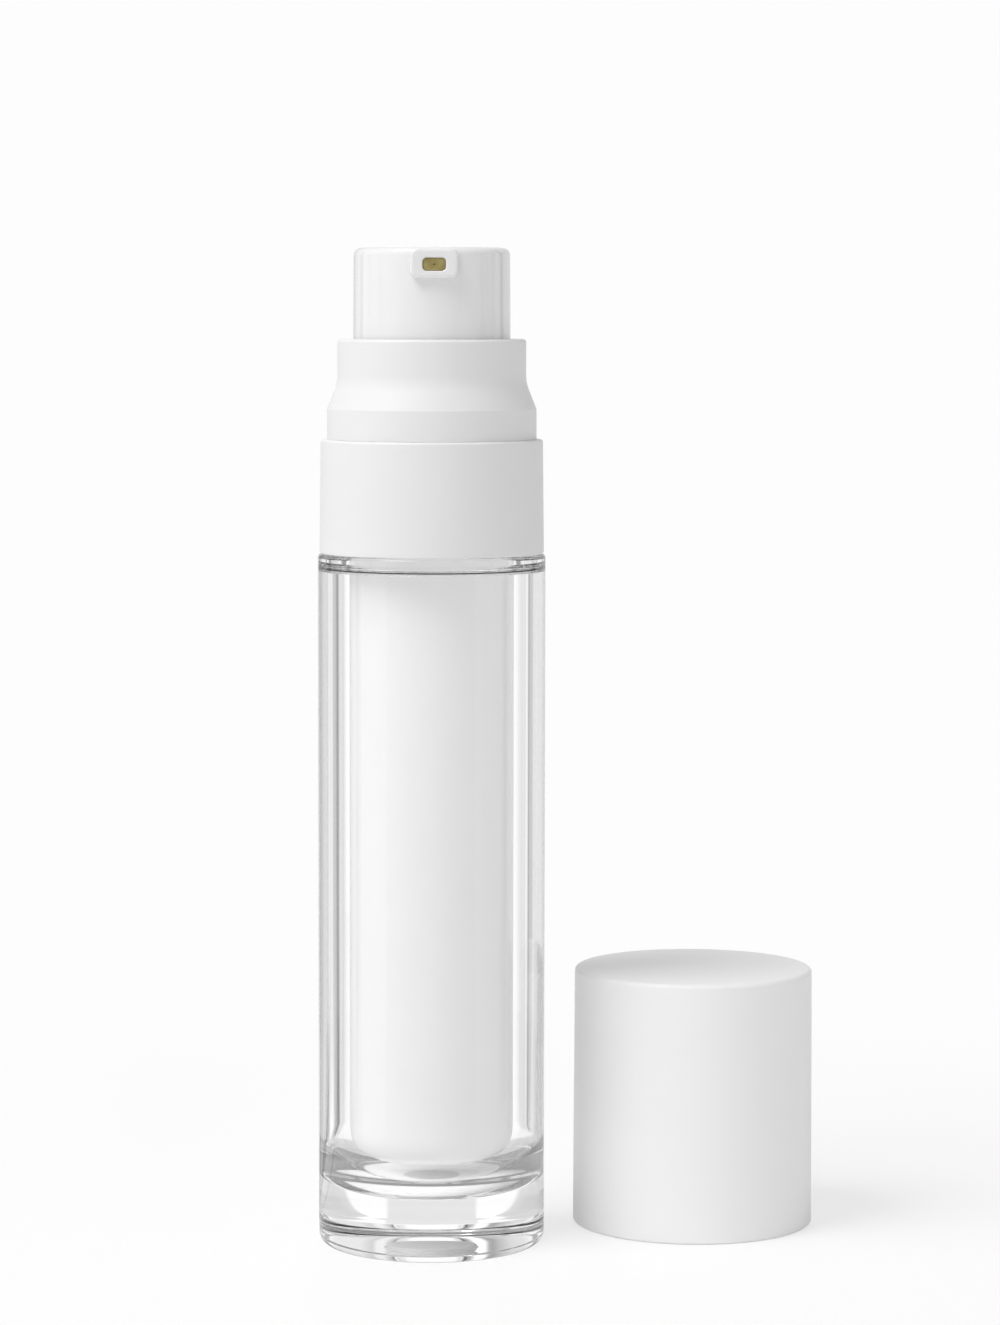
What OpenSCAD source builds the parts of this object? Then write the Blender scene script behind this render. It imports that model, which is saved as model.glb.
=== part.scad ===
// Airless pump bottle: clear double-wall bottle, white inner bottle, spring pump and a cap beside it.
// Millimetres, +Z up, origin at the centre of the bottle's underside, outlet towards -Y.

/* [Outer bottle] */
// outside diameter of the clear bottle
bottle_diameter = 34; // [33.8:0.1:35]
// height of the clear bottle's rim
bottle_height = 104.3; // [95:0.2:125]
// thickness of the clear side wall
bottle_wall = 1; // [0.8:0.1:1.4]
// thickness of the solid base
base_thickness = 8.5; // [6:0.5:11]
// rounding of the bottom outer edge
foot_rounding = 1.8; // [0.6:0.2:3]
// rounding between the hollow's side and floor
hollow_rounding = 8; // [3:0.5:10]
// height of the solid ring round the mouth
neck_ring_height = 2.3; // [2.3:0.1:5]
// rounding of the mouth's outer edge
rim_rounding = 0.8; // [0.2:0.1:0.8]
// rounding of the mouth's two inner edges
mouth_rounding = 1.1; // [0.3:0.1:1.1]
// diameter of the shallow dish in the underside
dish_diameter = 9; // [5:0.5:14]
// depth of the shallow dish in the underside
dish_depth = 0.5; // [0.2:0.1:1]

/* [Inner bottle] */
// outside diameter of the inner bottle
inner_diameter = 24.6; // [24.2:0.1:25]
// wall of the inner bottle
inner_wall = 1.2; // [1:0.05:1.4]
// space between the hollow's floor and the inner bottle
hanging_space = 3.2; // [1:0.2:6]
// rounding of the inner bottle's bottom edge
inner_rounding = 6; // [4:0.25:7]
// diameter of the flange that hangs on the outer rim
flange_diameter = 30; // [28:0.2:30.2]
// thickness of the hanging flange
flange_thickness = 1.4; // [1:0.1:1.6]
// height of the neck above the outer rim
neck_height = 13.7; // [12.6:0.1:14]
// diameter of the air hole in the floor
vent_diameter = 1.6; // [0.8:0.1:2.4]

/* [Follower piston] */
// height of the follower piston
follower_height = 8.2; // [7:0.2:10]
// height of each wiping lip
lip_height = 1.8; // [1.2:0.1:2.4]
// depth of the well that nests round the pump's nose
well_depth = 5; // [4:0.2:5.6]
// diameter of that well
well_diameter = 14; // [13.4:0.1:15]

/* [Collar] */
// height of the lower band
band_height = 16.9; // [16.3:0.1:18]
// diameter at the band's foot
band_foot_diameter = 33.5; // [33.4:0.05:33.7]
// diameter at the band's top
band_top_diameter = 33.15; // [33:0.05:33.35]
// rounding of the band's top edge
band_rounding = 0.4; // [0.2:0.05:0.5]
// diameter of the step that the cap grips
step_diameter = 31.22; // [31.2:0.02:31.5]
// height of the step
step_height = 4.5; // [4:0.1:6]
// height of the flare, a cone with a hollow rounding above it
flare_height = 5.1; // [4.6:0.1:6]
// radius of the flare's hollow rounding
flare_rounding = 6; // [4:0.5:7]
// diameter above the flare
throat_diameter = 28.1; // [28:0.05:28.6]
// height of the straight part above the flare
throat_height = 5.3; // [4:0.1:6]
// rounding of the collar's top edge
throat_rounding = 0.5; // [0.2:0.05:0.8]

/* [Pump] */
// bore of the pump cylinder
pump_bore = 10; // [9.6:0.1:10.2]
// wall of the pump cylinder
pump_wall = 1.2; // [1:0.05:1.3]
// way that the head is pressed
stroke = 5.5; // [4.5:0.1:5.6]
// height of the piston seal
seal_height = 3.8; // [3:0.1:3.9]
// diameter of the stem
stem_diameter = 5.2; // [5:0.05:5.4]
// diameter of the inlet ball
inlet_ball_diameter = 3.8; // [3.6:0.05:4]
// lift of the inlet ball
inlet_lift = 0.8; // [0.5:0.05:0.9]
// diameter of the outlet ball
outlet_ball_diameter = 2.4; // [2.3:0.05:2.5]
// lift of the outlet ball
outlet_lift = 0.7; // [0.4:0.05:0.9]
// thickness of the spring's wire
wire_diameter = 0.7; // [0.5:0.05:0.8]
// mean diameter of the spring
spring_diameter = 7.5; // [7.4:0.05:7.7]
// number of the spring's curls
curls = 5; // [4:1:6]
// length of the spring while the head is up
spring_length = 10.9; // [10.4:0.1:11.4]
// length of the stem above the spring's upper end
stem_reach = 6; // [5.6:0.1:6.4]

/* [Pump head] */
// diameter at the head's top
head_top_diameter = 23.25; // [23.2:0.05:23.5]
// diameter at the head's lower edge
head_foot_diameter = 23.55; // [23.5:0.05:23.8]
// height of the head above the collar
head_above_collar = 13.55; // [13.5:0.05:15]
// height of the whole head shell
head_height = 22.3; // [21.6:0.1:22.4]
// wall of the head shell
head_wall = 1.1; // [0.9:0.05:1.2]
// rounding of the head's top edge
head_rounding = 1.2; // [0.5:0.1:1.2]
// width of the frame round the outlet
frame_width = 7.1; // [6.4:0.1:8]
// height of the frame round the outlet
frame_height = 4.3; // [3.8:0.1:4.4]
// how far the frame stands out
frame_depth = 1; // [0.6:0.1:1.2]
// corner rounding of the frame
frame_rounding = 0.9; // [0.4:0.1:1.2]
// width of the outlet insert
outlet_width = 3.4; // [2.6:0.1:3.8]
// height of the outlet insert
outlet_height = 1.9; // [1.8:0.05:2.1]
// how far the insert lies behind the frame's face
outlet_recess = 0.25; // [0.1:0.05:0.4]

/* [Cap] */
// diameter at the cap's open edge
cap_foot_diameter = 36.9; // [36.7:0.1:37.4]
// diameter at the cap's top
cap_top_diameter = 36.5; // [36.4:0.1:36.7]
// height of the cap
cap_height = 39.5; // [36:0.5:46]
// wall of the cap at its open edge
cap_foot_wall = 1.35; // [1.2:0.05:1.5]
// wall of the cap below its top
cap_top_wall = 1.17; // [1:0.01:1.3]
// wall of the cap's inner sleeve below its top
liner_wall = 1.41; // [1.2:0.03:1.5]
// thickness of the cap's top
cap_top_thickness = 1.6; // [1.2:0.1:2.4]
// rounding of the cap's top edge
cap_rounding = 0.7; // [0.3:0.1:1.2]
// sideways distance from the bottle's axis to the standing cap
cap_across = 40.75; // [39:0.25:60]
// distance that the standing cap is set back
cap_back = 13.5; // [0:0.5:30]

/* [Node] */

/* [Hidden] */
$fn = 96;

// clearances
running = 0.05;
turning = 0.03;
loose = 0.25;
seat_gap = 0.03;
stop_gap = 0.1;
grip = 0.08;
push_gap = 0.1;
neck_gap = 0.15;
past = 1;

// outer bottle
bottle_radius = bottle_diameter / 2;
hollow_radius = bottle_radius - bottle_wall;
inner_radius = inner_diameter / 2;
mouth_radius = inner_radius + loose;
hollow_top = bottle_height - neck_ring_height;
hollow_edge = 0.4;

// inner bottle
bore_radius = inner_radius - inner_wall;
inner_floor = base_thickness + hanging_space;
flange_radius = flange_diameter / 2;
chamber_floor = inner_floor + 1.3;
chamber_rounding = inner_rounding / 2;
flange_top = bottle_height + flange_thickness;
neck_top = bottle_height + neck_height;
bead_low = neck_top - 5.7;
bead_height = 1.2;
bead_depth = 0.5;

// follower piston, resting on the chamber's floor
follower_radius = bore_radius - running;
follower_low = chamber_floor + chamber_rounding + 0.4;
follower_high = follower_low + follower_height;
follower_web = 1.2;

// pump, hung from the neck
gasket_thickness = 0.6;
pump_flange_low = neck_top + gasket_thickness;
pump_flange_thickness = 1.3;
pump_top = pump_flange_low + pump_flange_thickness;
lid_thickness = 1.2;
lid_top = pump_top + lid_thickness;
lid_radius = 9;
plug_height = 1.8;
bore_pump_radius = pump_bore / 2;
pump_radius = bore_pump_radius + pump_wall;
seal_top = pump_top - plug_height - stop_gap;
seal_low = seal_top - seal_height;
foot_height = 1;
foot_low = seal_low - foot_height;
foot_radius = 3.6;
stem_radius = stem_diameter / 2;
stem_bore_radius = 0.8;
cage_height = 1.1;
cage_top = foot_low - stroke - 0.3;
cage_low = cage_top - cage_height;
cage_ring = 1.1;
spoke_width = 0.9;
inlet_radius = inlet_ball_diameter / 2;
inlet_top = cage_low - stop_gap - inlet_lift;
inlet_centre = inlet_top - inlet_radius;
inlet_cone_tip = inlet_centre - seat_gap - inlet_radius * sqrt(2);
inlet_cone_radius = 2.7;
inlet_port_radius = 1.25;
valve_room_radius = bore_pump_radius - 0.6;
nose_radius = 3;
nose_top = inlet_cone_tip + inlet_port_radius;
nose_low = nose_top - 2.6;
pump_floor_low = nose_top - 0.8;
seat_radius = 3.8;
seat_shelf = pump_floor_low + 0.9;
seat_top = inlet_cone_tip + inlet_cone_radius;

// stem and spring
collar_ring_low = lid_top + spring_length;
collar_ring_height = 1.2;
collar_ring_radius = 4.9;
stem_top = collar_ring_low + stem_reach;
outlet_radius = outlet_ball_diameter / 2;
outlet_room_radius = stem_radius - 0.85;
outlet_centre = stem_top - 3.3;
outlet_cone_tip = outlet_centre - seat_gap - outlet_radius * sqrt(2);
outlet_stop = outlet_centre + outlet_radius + outlet_lift + stop_gap;
spring_radius = spring_diameter / 2;
turret_height = 1.5;
turret_radius = stem_radius + 0.4;

// collar
ledge = bottle_height + band_height;
band_foot_radius = band_foot_diameter / 2;
band_top_radius = band_top_diameter / 2;
step_radius = step_diameter / 2;
step_wall = 1.61;
skirt_wall = 1.2;
skirt_inner_radius = step_radius - step_wall;
skirt_radius = skirt_inner_radius + skirt_wall;
skirt_low = bottle_height + 3.4;
band_inner_radius = skirt_radius + push_gap;
band_lip = 1.2;
flare_low = ledge + step_height;
flare_high = flare_low + flare_height;
collar_top = flare_high + throat_height;
throat_radius = throat_diameter / 2;
flare_in = step_radius - throat_radius;
flare_reach = sqrt(flare_height * flare_height + flare_in * flare_in - 2 * flare_in * flare_rounding);
flare_slope = atan2(flare_height, flare_rounding - flare_in) - atan(flare_reach / flare_rounding);
collar_wall = 1.3;
collar_lip = 1.1;
closure_wall = 0.95;
closure_radius = skirt_inner_radius - push_gap;
closure_bore = closure_radius - closure_wall - bead_depth;
closure_low = flange_top + 0.4;
neck_radius = closure_bore - neck_gap;
neck_wall = 1.1;
neck_bore_radius = neck_radius - neck_wall;
gasket_width = 1.6;
closure_hole = lid_radius + 0.2;

// pump head
head_top_radius = head_top_diameter / 2;
head_foot_radius = head_foot_diameter / 2;
head_hole_radius = head_foot_radius + loose;
head_top = collar_top + head_above_collar;
head_low = head_top - head_height;
head_bore_radius = head_top_radius - head_wall;
head_roof = head_top - 1.2;
outlet_level = head_top - 2.6;
frame_top = head_top - 0.3;
frame_level = frame_top - frame_height / 2;
frame_face = head_top_radius + frame_depth;
channel_radius = 1.4;
channel_bore_radius = 0.8;
core_plate_low = head_roof - 1.5;
core_skirt_depth = 4.6;
core_skirt_low = head_roof - core_skirt_depth;
core_skirt_radius = head_bore_radius - 0.2;
core_skirt_wall = 1.1;
socket_radius = stem_radius + 1.6;
passage_radius = 1.7;
insert_back = core_skirt_radius;
insert_play = 0.02;
jet_radius = 0.2;
rib_width = 0.8;
rib_low = core_plate_low - 4;

// cap
cap_top_radius = cap_top_diameter / 2;
cap_foot_radius = cap_foot_diameter / 2;
cap_foot_bore = cap_foot_radius - cap_foot_wall;
cap_top_bore = cap_top_radius - cap_top_wall;
cap_roof = cap_height - cap_top_thickness;
cap_edge = 0.4;
liner_foot_bore = step_radius + grip;
liner_top_bore = cap_top_bore - liner_wall;
liner_low = 0.4;
liner_lead = 0.5;
liner_wall_top = 1.2;
liner_roof = cap_roof - liner_wall_top;

clear_acrylic = [0.86, 0.9, 0.92, 0.35];
white_matt = [0.93, 0.93, 0.93];
white_gloss = [0.96, 0.96, 0.96];
natural = [0.88, 0.88, 0.86];
soft_white = [0.82, 0.82, 0.8];
steel = [0.7, 0.71, 0.73];
olive_gold = [0.55, 0.48, 0.28];

// half section, x from zero, with rounded outer corners
module rounded_half(radius, low, high, foot, crown) {
    translate([0, low]) square([radius - foot, high - low]);
    translate([0, low]) square([radius - crown, high - low]);
    translate([0, low + foot]) square([radius, high - low - foot - crown]);
    round_corner(radius - foot, low + foot, foot, low);
    round_corner(radius - crown, high - crown, crown, high - crown);
}

// quarter of a circle that rounds an outer corner, from the given height up
module round_corner(x, z, rounding, low) {
    intersection() {
        translate([x, z]) circle(rounding);
        translate([x, low]) square(rounding);
    }
}

// block in the section from one radius to another
module section(from, to, low, high) {
    translate([from, low]) square([to - from, high - low]);
}

module ring(from, to, low, high) {
    rotate_extrude() section(from, to, low, high);
}

module outer_bottle() {
    color(clear_acrylic) rotate_extrude() difference() {
        rounded_half(bottle_radius, 0, bottle_height, foot_rounding, rim_rounding);
        rounded_half(hollow_radius, base_thickness, hollow_top, hollow_rounding, hollow_edge);
        section(0, mouth_radius, hollow_top - past, bottle_height + past);
        mouth_edge(hollow_top - past, hollow_top + mouth_rounding, hollow_top + mouth_rounding);
        mouth_edge(bottle_height - mouth_rounding, bottle_height + past, bottle_height - mouth_rounding);
        section(0, dish_diameter / 2, -past, dish_depth);
    }
}

// what the rounding of one of the mouth's edges leaves out, with its circle's centre at height z
module mouth_edge(low, high, z) {
    difference() {
        section(mouth_radius - past, mouth_radius + mouth_rounding, low, high);
        translate([mouth_radius + mouth_rounding, z]) circle(mouth_rounding);
    }
}

module inner_bottle() {
    color(white_gloss) rotate_extrude() difference() {
        union() {
            rounded_half(inner_radius, inner_floor, flange_top - 0.3, inner_rounding, 0.3);
            rounded_half(neck_radius, bottle_height + 0.3, neck_top, 0.3, 0.3);
            section(neck_bore_radius, flange_radius, bottle_height, flange_top);
            polygon([
                [neck_bore_radius, bead_low], [neck_radius, bead_low],
                [neck_radius + bead_depth, bead_low + bead_height / 3],
                [neck_radius + bead_depth, bead_low + bead_height * 2 / 3],
                [neck_radius, bead_low + bead_height], [neck_bore_radius, bead_low + bead_height]
            ]);
        }
        rounded_half(bore_radius, chamber_floor, flange_top, chamber_rounding, 0.3);
        section(0, neck_bore_radius, flange_top - 0.5, neck_top + past);
        section(0, vent_diameter / 2, inner_floor - past, chamber_floor + past);
    }
}

module follower_piston() {
    waist = follower_radius - 0.5;
    skirt_bore = follower_radius - 1.7;
    web_low = follower_high - well_depth - follower_web;
    color(natural) rotate_extrude() difference() {
        union() {
            section(0, waist, follower_low, follower_high);
            section(0, follower_radius, follower_low, follower_low + lip_height);
            section(0, follower_radius, follower_high - lip_height, follower_high);
        }
        section(0, skirt_bore, follower_low - past, web_low);
        section(0, well_diameter / 2, follower_high - well_depth, follower_high + past);
    }
}

module shoulder_band() {
    color(white_matt) rotate_extrude() difference() {
        union() {
            polygon([
                [0, bottle_height], [band_foot_radius, bottle_height],
                [band_top_radius, ledge - band_rounding], [0, ledge - band_rounding]
            ]);
            section(0, band_top_radius - band_rounding, bottle_height, ledge);
            translate([band_top_radius - band_rounding, ledge - band_rounding]) circle(band_rounding);
        }
        section(0, band_inner_radius, bottle_height - past, ledge + past);
    }
}

// what the flare leaves out of the section: a cone's side that runs up into a hollow rounding
module flare_cut() {
    centre = [throat_radius + flare_rounding, flare_high];
    touch = centre - flare_rounding * [cos(flare_slope), sin(flare_slope)];
    translate(centre) circle(flare_rounding, $fn = 720);
    polygon([[step_radius, flare_low], touch, centre, [centre[0], flare_low]]);
}

module shoulder_collar() {
    bore = throat_radius - collar_wall;
    color(white_matt) rotate_extrude() difference() {
        union() {
            section(0, skirt_radius, skirt_low, ledge);
            section(0, step_radius, ledge, flare_low);
            difference() {
                section(0, step_radius, flare_low, flare_high);
                flare_cut();
            }
            rounded_half(throat_radius, flare_high - 0.5, collar_top, 0.1, throat_rounding);
        }
        section(0, skirt_inner_radius, skirt_low - past, lid_top);
        section(0, bore, lid_top - past, collar_top - collar_lip);
        section(0, head_hole_radius, lid_top, collar_top + past);
    }
}

module closure_ring() {
    color(natural) rotate_extrude() difference() {
        section(0, closure_radius, closure_low, lid_top);
        section(0, closure_bore, closure_low - past, pump_top);
        section(0, closure_hole, closure_low, lid_top + past);
        section(0, closure_bore + bead_depth, bead_low - stop_gap, bead_low + bead_height + stop_gap);
    }
}

module neck_gasket() {
    color(soft_white) ring(neck_radius - gasket_width, neck_radius, neck_top, pump_flange_low);
}

module pump_housing() {
    color(natural) rotate_extrude() difference() {
        union() {
            section(0, neck_radius, pump_flange_low, pump_top);
            section(0, pump_radius, pump_floor_low, pump_top);
        }
        section(0, bore_pump_radius, cage_low, pump_top + past);
        section(0, valve_room_radius, seat_top, cage_low + past);
        section(0, seat_radius, seat_shelf, seat_top + past);
        section(0, nose_radius, pump_floor_low - past, seat_shelf + past);
    }
}

// pressed into the cylinder's floor from above
module inlet_seat() {
    color(natural) rotate_extrude() difference() {
        union() {
            section(0, seat_radius, seat_shelf, seat_top);
            section(0, nose_radius, nose_low, seat_top);
        }
        polygon([
            [0, inlet_cone_tip], [inlet_cone_radius, seat_top],
            [inlet_cone_radius, seat_top + past], [0, seat_top + past]
        ]);
        section(0, inlet_port_radius, nose_low - past, nose_top + past / 2);
    }
}

module housing_cap() {
    color(natural) rotate_extrude() difference() {
        union() {
            section(0, lid_radius, pump_top, lid_top);
            section(0, bore_pump_radius, pump_top - plug_height, lid_top);
            section(0, turret_radius, lid_top - past / 2, lid_top + turret_height);
        }
        section(0, stem_radius + running, pump_top - plug_height - past, lid_top + turret_height + past);
    }
}

module inlet_valve() {
    color(steel) translate([0, 0, inlet_centre]) sphere(inlet_radius);
}

module inlet_cage() {
    reach = bore_pump_radius - cage_ring / 2;
    color(natural) union() {
        ring(bore_pump_radius - cage_ring, bore_pump_radius, cage_low, cage_top);
        translate([0, 0, cage_low]) cylinder(r = spoke_width, h = cage_height);
        for (turn = [0 : 120 : 240])
            rotate([0, 0, turn])
                translate([0, -spoke_width / 2, cage_low])
                    cube([reach, spoke_width, cage_height]);
    }
}

module stem() {
    color(natural) rotate_extrude() difference() {
        union() {
            section(0, foot_radius, foot_low, seal_low);
            section(0, stem_radius, foot_low, stem_top);
        }
        section(0, stem_bore_radius, foot_low - past, stem_top);
        polygon([
            [0, outlet_cone_tip], [outlet_room_radius, outlet_cone_tip + outlet_room_radius],
            [outlet_room_radius, stem_top + past], [0, stem_top + past]
        ]);
    }
}

module stem_piston() {
    seal_radius = bore_pump_radius - running;
    waist = seal_radius - 0.5;
    color(soft_white) rotate_extrude() difference() {
        union() {
            section(0, waist, seal_low, seal_top);
            section(0, seal_radius, seal_low, seal_low + seal_height / 4);
            section(0, seal_radius, seal_top - seal_height / 4, seal_top);
        }
        section(0, stem_radius, seal_low - past, seal_top + past);
    }
}

module stem_collar() {
    color(natural) ring(stem_radius, collar_ring_radius, collar_ring_low, collar_ring_low + collar_ring_height);
}

// the wire runs up from the lid, round the stem and up to the clip ring
rings_per_curl = 8;
wire_sides = 6;
wire_low = lid_top + seat_gap;
wire_high = collar_ring_low - seat_gap;
coil_low = wire_low + wire_diameter;
coil_high = wire_high - wire_diameter;
coil_rings = curls * rings_per_curl;
pitch = (coil_high - coil_low) / curls;

function coil_point(i) = [
    spring_radius * cos(i * 360 / rings_per_curl),
    spring_radius * sin(i * 360 / rings_per_curl),
    coil_low + pitch * i / rings_per_curl
];

wire_path = concat(
    [[spring_radius, 0, wire_low]],
    [for (i = [0 : coil_rings]) coil_point(i)],
    [[spring_radius, 0, wire_high]]
);
wire_last = len(wire_path) - 1;

function unit(v) = v / norm(v);
function wire_along(i) =
    unit(wire_path[min(i + 1, wire_last)] - wire_path[max(i - 1, 0)]);
function wire_out(i) = unit([wire_path[i][0], wire_path[i][1], 0]);
function wire_corner(i, k) =
    let (along = wire_along(i))
    let (side = unit(cross(along, wire_out(i))))
    let (out = cross(side, along))
    wire_path[i] + wire_diameter / 2
        * (out * cos(k * 360 / wire_sides) + side * sin(k * 360 / wire_sides));

function corner(i, k) = i * wire_sides + k % wire_sides;

least_gap = min([
    for (i = [0 : wire_last])
        for (j = [i + rings_per_curl - 2 : wire_last])
            if (j <= wire_last) norm(wire_path[i] - wire_path[j]) - wire_diameter
]);
echo(spring_least_gap = least_gap);

module return_spring() {
    points = [for (i = [0 : wire_last]) for (k = [0 : wire_sides - 1]) wire_corner(i, k)];
    sides = [
        for (i = [0 : wire_last - 1]) for (k = [0 : wire_sides - 1])
            each [
                [corner(i, k), corner(i + 1, k), corner(i + 1, k + 1)],
                [corner(i, k), corner(i + 1, k + 1), corner(i, k + 1)]
            ]
    ];
    ends = [
        for (k = [1 : wire_sides - 2])
            each [
                [corner(0, 0), corner(0, k), corner(0, k + 1)],
                [corner(wire_last, 0), corner(wire_last, k + 1), corner(wire_last, k)]
            ]
    ];
    color(steel) polyhedron(points, concat(sides, ends));
}

module outlet_valve() {
    color(steel) translate([0, 0, outlet_centre]) sphere(outlet_radius);
}

// rectangle with round corners in the XZ plane, run along Y
module face_block(width, height, rounding, level, front, back) {
    translate([0, back, level]) rotate([90, 0, 0]) linear_extrude(back - front) union() {
        square([width - 2 * rounding, height], center = true);
        square([width, height - 2 * rounding], center = true);
        for (x = [-1, 1]) for (y = [-1, 1])
            translate([x * (width / 2 - rounding), y * (height / 2 - rounding)]) circle(rounding);
    }
}

module actuator_shell() {
    outlet_rounding = 0.6;
    color(white_gloss) difference() {
        union() {
            rotate_extrude() union() {
                polygon([
                    [0, head_low], [head_foot_radius, head_low],
                    [head_top_radius, head_top - head_rounding], [0, head_top - head_rounding]
                ]);
                section(0, head_top_radius - head_rounding, head_low, head_top);
                translate([head_top_radius - head_rounding, head_top - head_rounding]) circle(head_rounding);
            }
            face_block(
                frame_width, frame_height, frame_rounding, frame_level,
                -frame_face, -(head_bore_radius + 0.5)
            );
        }
        rotate_extrude() section(0, head_bore_radius, head_low - past, head_roof);
        face_block(
            outlet_width, outlet_height, outlet_rounding, outlet_level,
            -(frame_face + past), -(head_bore_radius - past)
        );
    }
}

module actuator_core() {
    core_top = head_roof;
    color(natural) difference() {
        union() {
            cylinder_between(socket_radius, collar_ring_low + collar_ring_height + 0.4, core_top);
            cylinder_between(core_skirt_radius, core_plate_low, core_top);
            ring(core_skirt_radius - core_skirt_wall, core_skirt_radius, core_skirt_low, core_top);
            translate([0, 0, outlet_level]) rotate([90, 0, 0])
                cylinder(r = channel_radius, h = core_skirt_radius - 0.5);
            for (turn = [45 : 90 : 315])
                rotate([0, 0, turn])
                    translate([socket_radius - 0.5, -rib_width / 2, rib_low])
                        cube([core_skirt_radius - socket_radius - 0.1, rib_width, core_top - rib_low]);
        }
        cylinder_between(stem_radius + turning, collar_ring_low, stem_top + seat_gap);
        difference() {
            cylinder_between(passage_radius, stem_top - past, outlet_level + channel_bore_radius);
            translate([-2 * passage_radius, -spoke_width / 2, stem_top + seat_gap])
                cube([4 * passage_radius, spoke_width, 1]);
        }
        translate([0, 0, outlet_level]) rotate([90, 0, 0])
            cylinder(r = channel_bore_radius, h = core_skirt_radius + past);
    }
    color(natural) cylinder_between(0.5, outlet_stop, stem_top + seat_gap + 0.5);
}

module cylinder_between(radius, low, high) {
    translate([0, 0, low]) cylinder(r = radius, h = high - low);
}

module nozzle_insert() {
    front = -(frame_face - outlet_recess);
    color(olive_gold) difference() {
        face_block(
            outlet_width - 2 * insert_play, outlet_height - 2 * insert_play, 0.6 - insert_play,
            outlet_level, front, -insert_back
        );
        translate([0, front + past, outlet_level]) rotate([90, 0, 0]) cylinder(r = jet_radius, h = 2 * past);
        translate([0, 0, outlet_level]) rotate([90, 0, 0])
            cylinder(r = channel_bore_radius, h = -front - 0.6);
    }
}

// half section that follows the cap's side, straight down to the grip and then up to the roof
module cap_hollow(foot, top, low, high) {
    polygon([
        [0, low], [foot, low], [foot, step_height + cap_edge], [top, high], [0, high]
    ]);
}

module overcap() {
    color(white_matt) translate([cap_across, cap_back, 0]) rotate_extrude() difference() {
        union() {
            polygon([
                [0, cap_edge], [cap_foot_radius, cap_edge],
                [cap_top_radius, cap_height - cap_rounding], [0, cap_height - cap_rounding]
            ]);
            section(0, cap_foot_radius - cap_edge, 0, cap_edge);
            translate([cap_foot_radius - cap_edge, cap_edge]) circle(cap_edge);
            section(0, cap_top_radius - cap_rounding, cap_height / 2, cap_height);
            translate([cap_top_radius - cap_rounding, cap_height - cap_rounding]) circle(cap_rounding);
        }
        cap_hollow(cap_foot_bore, cap_top_bore, -past, cap_roof);
    }
}

module overcap_liner() {
    color(natural) translate([cap_across, cap_back, 0]) rotate_extrude() difference() {
        cap_hollow(cap_foot_bore, cap_top_bore, liner_low, cap_roof);
        cap_hollow(liner_foot_bore, liner_top_bore, liner_low - past, liner_roof);
        polygon([
            [0, liner_low - past], [liner_foot_bore + liner_lead + past, liner_low - past],
            [liner_foot_bore, liner_low + liner_lead], [0, liner_low + liner_lead]
        ]);
    }
}

outer_bottle();
inner_bottle();
follower_piston();
shoulder_band();
shoulder_collar();
closure_ring();
neck_gasket();
pump_housing();
housing_cap();
inlet_seat();
inlet_valve();
inlet_cage();
stem();
stem_piston();
stem_collar();
return_spring();
outlet_valve();
actuator_shell();
actuator_core();
nozzle_insert();
overcap();
overcap_liner();
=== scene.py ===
import math
import bpy
import numpy as np
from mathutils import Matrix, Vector


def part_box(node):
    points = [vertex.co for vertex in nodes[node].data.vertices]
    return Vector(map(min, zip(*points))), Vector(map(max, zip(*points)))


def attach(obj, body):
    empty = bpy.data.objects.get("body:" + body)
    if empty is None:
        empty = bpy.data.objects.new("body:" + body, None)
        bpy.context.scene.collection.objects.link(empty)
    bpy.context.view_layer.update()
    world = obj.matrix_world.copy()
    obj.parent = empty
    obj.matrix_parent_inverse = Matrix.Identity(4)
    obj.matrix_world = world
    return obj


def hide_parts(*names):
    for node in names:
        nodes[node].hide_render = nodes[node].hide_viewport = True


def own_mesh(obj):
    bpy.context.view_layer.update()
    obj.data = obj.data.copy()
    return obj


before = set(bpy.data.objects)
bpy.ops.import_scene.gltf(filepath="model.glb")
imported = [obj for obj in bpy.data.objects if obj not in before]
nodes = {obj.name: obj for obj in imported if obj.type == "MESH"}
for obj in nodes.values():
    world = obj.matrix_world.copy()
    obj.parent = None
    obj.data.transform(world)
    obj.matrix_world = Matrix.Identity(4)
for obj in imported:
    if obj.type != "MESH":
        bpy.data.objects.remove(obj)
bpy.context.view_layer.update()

# Airless pump bottle: clear double-wall bottle with a white inner bottle, stepped collar, pump head and
# a cap that stands beside it. Metres in the mesh, millimetres in the dictionaries.

mm = 0.001
scene = bpy.context.scene


# half width, centre, foot and top of a CAD node in millimetres
def measure(node):
    low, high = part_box(node)
    return {
        "radius": (high.x - low.x) / 2 / mm,
        "x": (high.x + low.x) / 2 / mm,
        "y": (high.y + low.y) / 2 / mm,
        "low": low.z / mm,
        "high": high.z / mm,
        "front": low.y / mm,
    }


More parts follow.
